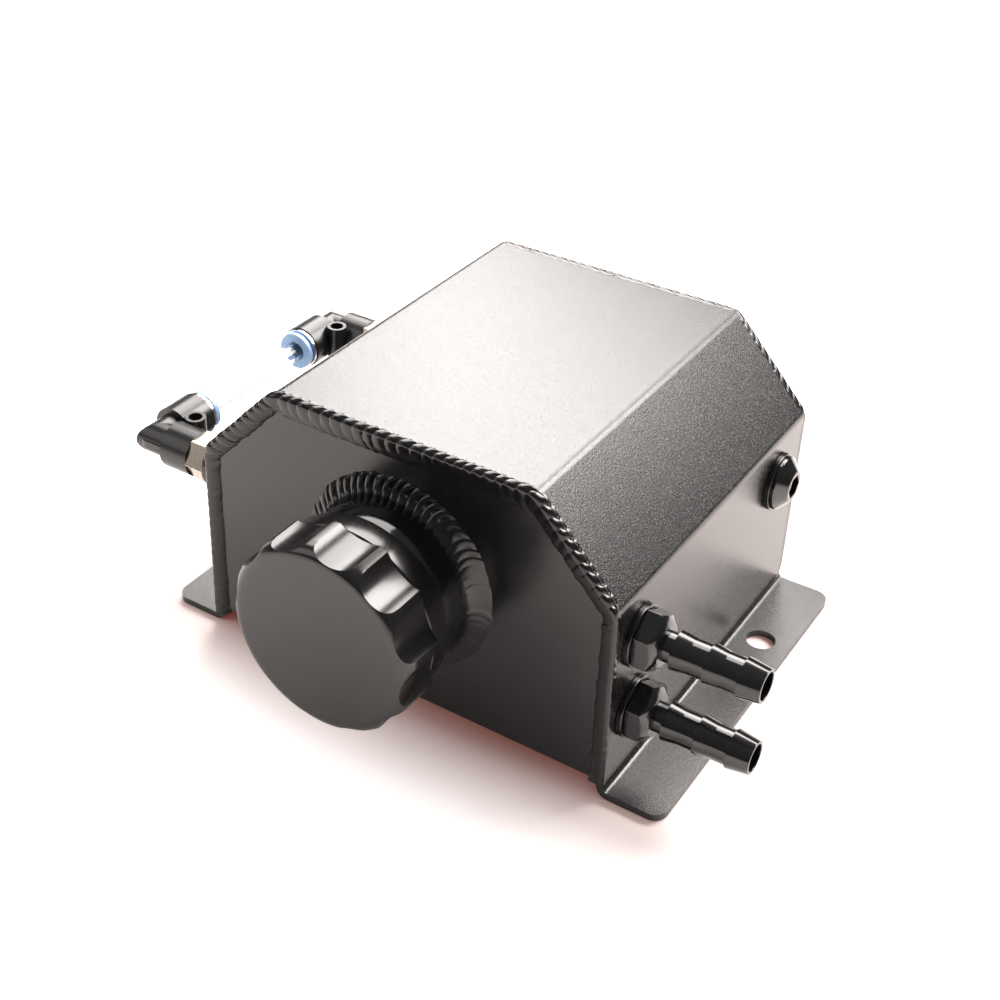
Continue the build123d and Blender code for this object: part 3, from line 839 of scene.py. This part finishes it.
plug_outline = [(0.0, -PLUG_FOOT_DEPTH), (PORT_THREAD, -PLUG_FOOT_DEPTH), (PORT_THREAD, BUNG_PROUD)]
plug_outline += [(PLUG_RIM, BUNG_PROUD), (PLUG_RIM, PLUG_RIM_TOP), (PLUG_CONE, PLUG_TOP)]
plug_outline += [(PLUG_FACE, PLUG_TOP)]
# Of the last corner only the first guard point is kept, because the socket goes on from there.
turned_part = softened(plug_outline, PLUG_CORNER)[:1 - CORNER_POINTS]
rows = [round_row(radius, height) for radius, height in turned_part]
rows += [round_row(PLUG_FACE - FACE_GAP, PLUG_TOP)]
rows += [socket_row(SOCKET_CORNER, PLUG_TOP), socket_row(0.0, PLUG_TOP - SOCKET_CORNER)]
rows += [socket_row(0.0, PLUG_TOP - SOCKET_DEPTH), round_row(0.0, PLUG_TOP - SOCKET_DEPTH)]
place = port_place(spare_y, upper_z)
turns = [2 * math.pi * k / SEGMENTS for k in range(SEGMENTS)]
points = []
for row in rows:
    points.append([turned_point(place, radius, turn, height) for turn, (radius, height) in zip(turns, row)])
mesh = bmesh.new()
add_skin(mesh, points, loop_columns=True)
finished("socket_plug", mesh, "tank", ["spare_port_plug"])

# %% [markdown]
# ## Finishes
# The black of the tank is a powder coat: a fine, even grain that breaks every reflection into tiny bright
# points. The grain is a shader node group, because the sheet, the ends and the welds all wear it, each at
# its own strength. It gives a height for a bump and a small change of roughness, and nothing else.

# %% Node helpers
def new_material(name):
    """An empty node material with its tree and its main shader."""
    material = bpy.data.materials.new(name)
    material.use_nodes = True
    tree = material.node_tree
    return material, tree, tree.nodes["Principled BSDF"]


def set_inputs(node, **values):
    """Sets a node's inputs by name, with an underscore for each space."""
    for key, value in values.items():
        node.inputs[key.replace("_", " ")].default_value = value
    return node


def new_group(name, inputs, outputs):
    """A node group with named number inputs and named outputs."""
    group = bpy.data.node_groups.new(name, "ShaderNodeTree")
    for label, value in inputs.items():
        socket = group.interface.new_socket(label, in_out="INPUT", socket_type="NodeSocketFloat")
        socket.default_value = value
    for label in outputs:
        group.interface.new_socket(label, in_out="OUTPUT", socket_type="NodeSocketFloat")
    return group, group.nodes.new("NodeGroupInput"), group.nodes.new("NodeGroupOutput")


def add_group(tree, group, **values):
    """Places a node group in a material with its own values."""
    node = tree.nodes.new("ShaderNodeGroup")
    node.node_tree = group
    return set_inputs(node, **values)


def add_math(tree, operation, first, second, third=None):
    """A math node whose inputs are numbers or other nodes' outputs."""
    node = tree.nodes.new("ShaderNodeMath")
    node.operation = operation
    for socket, value in zip(node.inputs, (first, second, third)):
        if isinstance(value, bpy.types.NodeSocket):
            tree.links.new(value, socket)
        elif value is not None:
            socket.default_value = value
    return node.outputs[0]


def add_bump(tree, shader, height, strength, distance):
    """A bump node from a height output to the shader's normal."""
    bump = tree.nodes.new("ShaderNodeBump")
    set_inputs(bump, Strength=strength, Distance=distance)
    tree.links.new(height, bump.inputs["Height"])
    tree.links.new(bump.outputs["Normal"], shader.inputs["Normal"])


# %% Grain of a surface
grain, start, end = new_group(
    "surface_grain",
    {"Grain Size": 0.5, "Wave Size": 2.0, "Wave Share": 0.3, "Roughness": 0.4, "Roughness Spread": 0.1},
    ["Height", "Roughness"],
)
where = grain.nodes.new("ShaderNodeTexCoord").outputs["Object"]


def scaled_noise(size_label, detail, rough):
    """Noise whose grains are as large as one of the group's inputs, in millimetres."""
    noise = grain.nodes.new("ShaderNodeTexNoise")
    set_inputs(noise, Detail=detail, Roughness=rough)
    grain.links.new(where, noise.inputs["Vector"])
    grain.links.new(add_math(grain, "DIVIDE", 1 / MM, start.outputs[size_label]), noise.inputs["Scale"])
    return noise.outputs["Fac"]


fine = scaled_noise("Grain Size", detail=2.0, rough=0.65)
wave = scaled_noise("Wave Size", detail=1.0, rough=0.5)
difference = add_math(grain, "SUBTRACT", wave, fine)
height = add_math(grain, "MULTIPLY_ADD", difference, start.outputs["Wave Share"], fine)
grain.links.new(height, end.inputs["Height"])
centred = add_math(grain, "SUBTRACT", fine, 0.5)
spread = start.outputs["Roughness Spread"]
rough = add_math(grain, "MULTIPLY_ADD", centred, spread, start.outputs["Roughness"])
grain.links.new(rough, end.inputs["Roughness"])
print("group", grain.name, "has", len(grain.nodes), "nodes")

# %% A finish with its grain
WAVE_SIZE = 2.0
BUMP_DISTANCE = 0.0001


def finish(name, colour, roughness, size, bump, spread=0.1, wave_share=0.3, **extra):
    """A finish of one colour, with its grain in millimetres, its bump and the spread of its gloss."""
    material, tree, shader = new_material(name)
    set_inputs(shader, Base_Color=(*colour, 1), **extra)
    texture = add_group(
        tree, grain, Grain_Size=size, Wave_Size=WAVE_SIZE, Wave_Share=wave_share,
        Roughness=roughness, Roughness_Spread=spread,
    )
    tree.links.new(texture.outputs["Roughness"], shader.inputs["Roughness"])
    add_bump(tree, shader, texture.outputs["Height"], bump, BUMP_DISTANCE)
    return material


COAT = (0.01, 0.0093, 0.009)
DARK_COAT = (0.006, 0.0056, 0.0055)
sheet_coat = finish(
    "sheet_powder_coat", COAT, roughness=0.23, size=0.42, bump=0.75, spread=0.3, wave_share=0.08, IOR=1.7
)
plate_coat = finish(
    "plate_powder_coat", DARK_COAT, roughness=0.23, size=0.5, bump=0.12, wave_share=0.4, IOR=1.68
)
weld_coat = finish(
    "weld_powder_coat", DARK_COAT, roughness=0.19, size=0.6, bump=0.12, spread=0.15, wave_share=0.5, IOR=1.62
)

# %% [markdown]
# ## Turned and moulded finishes
# The cap, the neck, the hose tails and the plug are anodised: a thin hard black skin on bare metal,
# glossier than the coat. The elbows are black nylon, the collars light blue, and the stems nickel-plated
# brass.

# %% Finishes of the fittings
CAP_BLACK = (0.009, 0.0085, 0.0083)
GLOSS_BLACK = (0.006, 0.0058, 0.0058)
NYLON_BLACK = (0.012, 0.012, 0.0122)
RUBBER_BLACK = (0.01, 0.01, 0.01)
LIGHT_BLUE = (0.4, 0.63, 0.97)
NICKEL = (0.5, 0.44, 0.38)
COPPER = (0.16, 0.09, 0.065)
STEEL = (0.78, 0.77, 0.75)
NO_COLOUR = (1.0, 1.0, 1.0)
cap_finish = finish(
    "satin_black_anodised", CAP_BLACK, roughness=0.19, size=0.3, bump=0.1, spread=0.12, IOR=1.66
)
gloss_finish = finish(
    "gloss_black_anodised", GLOSS_BLACK, roughness=0.12, size=0.4, bump=0.04, spread=0.08, IOR=1.75
)
nylon = finish("black_nylon", NYLON_BLACK, roughness=0.3, size=0.6, bump=0.12, spread=0.12, IOR=1.65)
rubber = finish("black_rubber", RUBBER_BLACK, roughness=0.55, size=0.5, bump=0.1, spread=0.15)
blue = finish("light_blue_plastic", LIGHT_BLUE, roughness=0.32, size=0.9, bump=0.05)
nickel = finish("nickel_plate", NICKEL, roughness=0.26, size=0.4, bump=0.1, spread=0.12, Metallic=1.0)
copper = finish("copper_washer", COPPER, roughness=0.38, size=0.5, bump=0.1, spread=0.15, Metallic=1.0)
stainless = finish("stainless_bush", STEEL, roughness=0.22, size=0.4, bump=0.05, Metallic=1.0)
clear = finish(
    "clear_tube", NO_COLOUR, roughness=0.02, size=3.0, bump=0.03, spread=0.02,
    IOR=1.42, Transmission_Weight=1.0,
)

# %% Give every piece its finish
finish_of = {
    "front_end_plate": plate_coat, "rear_end_plate": plate_coat, "fluted_cap": cap_finish,
    "threaded_neck": gloss_finish, "socket_plug": gloss_finish, "sight_tube": clear,
}
ending_finish = {
    "_weld_scales": weld_coat, "_weld_boss": plate_coat, "_bung": plate_coat, "_hose_tail": gloss_finish,
    "_seal": rubber, "_washer": copper, "_elbow_stem": nickel, "_elbow_body": nylon,
    "_sleeve_ring": stainless, "_grip_ring": stainless, "_release_collar": blue,
}


def finish_for(name):
    """The finish of a piece, by its own name, by the ending of its name, or else the sheet's coat."""
    if name in finish_of:
        return finish_of[name]
    for ending, material in ending_finish.items():
        if name.endswith(ending):
            return material
    return sheet_coat


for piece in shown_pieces():
    piece.data.materials.clear()
    piece.data.materials.append(finish_for(piece.name))

# %% [markdown]
# ## Camera
# The photograph was taken from the front right and above. A camera was fitted to the tank's edges, and its
# place, direction and lens are written here as they came out, in real sizes.

# %% Camera
CAMERA_TURN = math.radians(32.94)
CAMERA_RISE = math.radians(32.11)
CAMERA_ROLL = math.radians(1.26)
CAMERA_PLACE = Vector((187.3, -324.0, 291.9))
SENSOR = 36.0
FOCAL_SHARE = 1.5937
IMAGE_CENTRE = (0.4442, 0.434)

back = Vector((
    math.sin(CAMERA_TURN) * math.cos(CAMERA_RISE),
    -math.cos(CAMERA_TURN) * math.cos(CAMERA_RISE),
    math.sin(CAMERA_RISE),
))
level = Vector((math.cos(CAMERA_TURN), math.sin(CAMERA_TURN), 0))
upright = back.cross(level)
right = level * math.cos(CAMERA_ROLL) + upright * math.sin(CAMERA_ROLL)
up = upright * math.cos(CAMERA_ROLL) - level * math.sin(CAMERA_ROLL)
camera_data = bpy.data.cameras.new("camera")
camera_data.sensor_width = SENSOR
camera_data.lens = SENSOR * FOCAL_SHARE
camera_data.shift_x = 0.5 - IMAGE_CENTRE[0]
camera_data.shift_y = IMAGE_CENTRE[1] - 0.5
camera = bpy.data.objects.new("camera", camera_data)
facing_tank = Matrix((right, up, back)).transposed().to_4x4()
camera.matrix_world = Matrix.Translation(CAMERA_PLACE * MM) @ facing_tank
bpy.context.scene.collection.objects.link(camera)
bpy.context.scene.camera = camera
print("lens", round(camera_data.lens, 1), "mm")

# %% [markdown]
# ## Light
# A black glossy thing shows its lamps more than its colour. The flutes of the cap work like a row of
# mirrors, and they tell where the lamps stood: behind the tank, a large soft lamp over the left and another
# over the right, with a dark gap between them. Both are placed by the angle at which the flutes show them.
# The left one is two panels, the upper of them weaker. The flat top mirrors them, so it looks white, and
# the right shoulder catches the rim of the right lamp. A weak lamp at the front left only lifts the flutes
# on that side a little.

# %% Lamps
LAMP_DISTANCE = 900.0
LAMP_COLOUR = (1.0, 0.95, 0.92)
LAMP_MIDDLE = Vector((0, 0, 45))


def soft_lamp(name, sweep, ahead, spans, radiance):
    """A soft lamp that faces the tank, at an angle seen from the front and with a share of +Y."""
    turn = math.radians(sweep)
    side = math.sqrt(1 - ahead * ahead)
    away = Vector((side * math.cos(turn), ahead, side * math.sin(turn)))
    wide = Vector((-math.sin(turn), 0, math.cos(turn)))
    data = bpy.data.lights.new(name, "AREA")
    data.shape = "RECTANGLE"
    data.size, data.size_y = [2 * LAMP_DISTANCE * math.tan(math.radians(span / 2)) * MM for span in spans]
    data.energy = radiance * math.pi * data.size * data.size_y
    data.color = LAMP_COLOUR
    lamp = bpy.data.objects.new(name, data)
    turned = Matrix((wide, away.cross(wide), away)).transposed().to_4x4()
    lamp.matrix_world = Matrix.Translation((away * LAMP_DISTANCE + LAMP_MIDDLE) * MM) @ turned
    bpy.context.scene.collection.objects.link(lamp)
    print(name, "at", [round(c, 2) for c in lamp.location], "power", round(data.energy, 2), "W")


soft_lamp("left_back_softbox", sweep=115, ahead=0.69, spans=(43, 23), radiance=10.2)
soft_lamp("left_top_softbox", sweep=115, ahead=0.36, spans=(42, 22), radiance=5.4)
soft_lamp("right_back_softbox", sweep=57, ahead=0.62, spans=(31, 28), radiance=15.0)
soft_lamp("front_left_fill", sweep=140, ahead=-0.55, spans=(34, 34), radiance=1.2)

# %% [markdown]
# The sky is white to the camera and through the clear tube. To soft light it is a plain grey room. In
# reflections it is darker still, and it grows lighter from the horizon up, so that the black stays black
# between the lamps.

# %% Sky
SKY_SOFT = 0.4
SKY_HORIZON = 0.08
SKY_OVERHEAD = 0.2
world = bpy.data.worlds.new("white_room")
bpy.context.scene.world = world
world.use_nodes = True
sky = world.node_tree
background = sky.nodes["Background"]
set_inputs(background, Color=(1, 1, 1, 1))
paths = sky.nodes.new("ShaderNodeLightPath")
split = sky.nodes.new("ShaderNodeSeparateXYZ")
sky.links.new(sky.nodes.new("ShaderNodeTexCoord").outputs["Generated"], split.inputs[0])
climb = sky.nodes.new("ShaderNodeMapRange")
set_inputs(climb, From_Min=0.0, From_Max=1.0, To_Min=SKY_HORIZON, To_Max=SKY_OVERHEAD)
sky.links.new(split.outputs["Z"], climb.inputs["Value"])
seen = add_math(sky, "MAXIMUM", paths.outputs["Is Camera Ray"], paths.outputs["Is Transmission Ray"])
mirrored = add_math(sky, "SUBTRACT", climb.outputs["Result"], SKY_SOFT)
soft = add_math(sky, "MULTIPLY_ADD", mirrored, paths.outputs["Is Glossy Ray"], SKY_SOFT)
full = add_math(sky, "SUBTRACT", 1.0, soft)
sky.links.new(add_math(sky, "MULTIPLY_ADD", full, seen, soft), background.inputs["Strength"])

# %% [markdown]
# ## Floor
# The floor is burnt out to white, and the tank's warm shadow is left on it. To the camera the floor is a lit
# surface plus a glow: faint and warm by the tank, full some 38 millimetres away from it. So the shadow on
# the floor is partly real, from the lit surface, and partly painted: where the glow fades by the tank it is
# painted shade, and its warm colour there is a painted warm shadow tint. In reflections only a tenth or so
# of the glow is left, because the tank's sides show little of the floor. That share grows from the front end
# to the rear end: a painted reflection, brighter towards the rear. To soft light it is a plain white floor
# without any glow, so it adds no light to the tank.

# %% Floor sheet
FLOOR_REACH = 6.0
FLOOR_DROP = 0.0002
floor_mesh = bpy.data.meshes.new("floor")
corners = [(-FLOOR_REACH, -FLOOR_REACH, 0), (FLOOR_REACH, -FLOOR_REACH, 0)]
corners += [(FLOOR_REACH, FLOOR_REACH, 0), (-FLOOR_REACH, FLOOR_REACH, 0)]
floor_mesh.from_pydata(corners, [], [(0, 1, 2, 3)])
floor = bpy.data.objects.new("floor", floor_mesh)
floor.location.z = -FLOOR_DROP
bpy.context.scene.collection.objects.link(floor)
floor_look = bpy.data.materials.new("white_floor")
floor_look.use_nodes = True
tree = floor_look.node_tree
tree.nodes.clear()

# %% How far from the tank
BESIDE_WALL = 14
GLOW_REACH = 0.038
position = tree.nodes.new("ShaderNodeSeparateXYZ")
tree.links.new(tree.nodes.new("ShaderNodeNewGeometry").outputs["Position"], position.inputs[0])
outside = []
for axis, half in (("X", half_width + BESIDE_WALL), ("Y", rear_y)):
    from_middle = add_math(tree, "ABSOLUTE", position.outputs[axis], None)
    beyond = add_math(tree, "SUBTRACT", from_middle, half * MM)
    outside.append(add_math(tree, "MAXIMUM", beyond, 0.0))
squares = [add_math(tree, "MULTIPLY", side, side) for side in outside]
apart = add_math(tree, "SQRT", add_math(tree, "ADD", *squares), None)
# Painted shade: the glow is faint by the tank and full at the glow's reach from it, so the floor is darker
# next to the tank.
painted_shade_fade = tree.nodes.new("ShaderNodeMapRange")
set_inputs(painted_shade_fade, From_Min=0.0, From_Max=GLOW_REACH)
tree.links.new(apart, painted_shade_fade.inputs["Value"])

# %% Glow of the floor
# Painted warm shadow tint: the dim warm glow by the tank. The white glow away from it makes the floor white.
PAINTED_SHADOW_GLOW = (0.1, 0.01, 0.0, 1)
FAR_GLOW = (1.05, 1.0, 0.98, 1)
MIRRORED_FRONT = 0.1
MIRRORED_BACK = 0.15
painted_shadow_tint = tree.nodes.new("ShaderNodeMix")
painted_shadow_tint.data_type = "RGBA"
tree.links.new(painted_shade_fade.outputs["Result"], painted_shadow_tint.inputs["Factor"])
for socket, colour in zip([s for s in painted_shadow_tint.inputs if s.type == "RGBA"], (PAINTED_SHADOW_GLOW, FAR_GLOW)):
    socket.default_value = colour
glow = tree.nodes.new("ShaderNodeEmission")
tree.links.new([s for s in painted_shadow_tint.outputs if s.type == "RGBA"][0], glow.inputs["Color"])
paths = tree.nodes.new("ShaderNodeLightPath")
# Painted reflection: the glow that reflections see grows from the front end to the rear end, so the sides
# mirror a brighter floor towards the rear.
behind = tree.nodes.new("ShaderNodeMapRange")
set_inputs(behind, From_Min=front_y * MM, From_Max=rear_y * MM, To_Min=MIRRORED_FRONT, To_Max=MIRRORED_BACK)
tree.links.new(position.outputs["Y"], behind.inputs["Value"])
less = add_math(tree, "SUBTRACT", behind.outputs["Result"], 1.0)
strength = add_math(tree, "MULTIPLY_ADD", less, paths.outputs["Is Glossy Ray"], 1.0)
tree.links.new(strength, glow.inputs["Strength"])

# %% Floor's surface
LIT_FLOOR = (0.98, 0.92, 0.9, 1)
PLAIN_FLOOR = (0.8, 0.8, 0.8, 1)
lit = tree.nodes.new("ShaderNodeBsdfDiffuse")
set_inputs(lit, Color=LIT_FLOOR)
plain = tree.nodes.new("ShaderNodeBsdfDiffuse")
set_inputs(plain, Color=PLAIN_FLOOR)
both = tree.nodes.new("ShaderNodeAddShader")
tree.links.new(lit.outputs[0], both.inputs[0])
tree.links.new(glow.outputs[0], both.inputs[1])
choice = tree.nodes.new("ShaderNodeMixShader")
tree.links.new(paths.outputs["Is Diffuse Ray"], choice.inputs["Fac"])
tree.links.new(both.outputs[0], choice.inputs[1])
tree.links.new(plain.outputs[0], choice.inputs[2])
output = tree.nodes.new("ShaderNodeOutputMaterial")
tree.links.new(choice.outputs[0], output.inputs["Surface"])
floor_mesh.materials.append(floor_look)
print("floor material has", len(tree.nodes), "nodes")

# %% [markdown]
# ## Colour view
# Colours are shown as they are written, with no film look.

# %% Colour view
bpy.context.scene.view_settings.view_transform = "Standard"
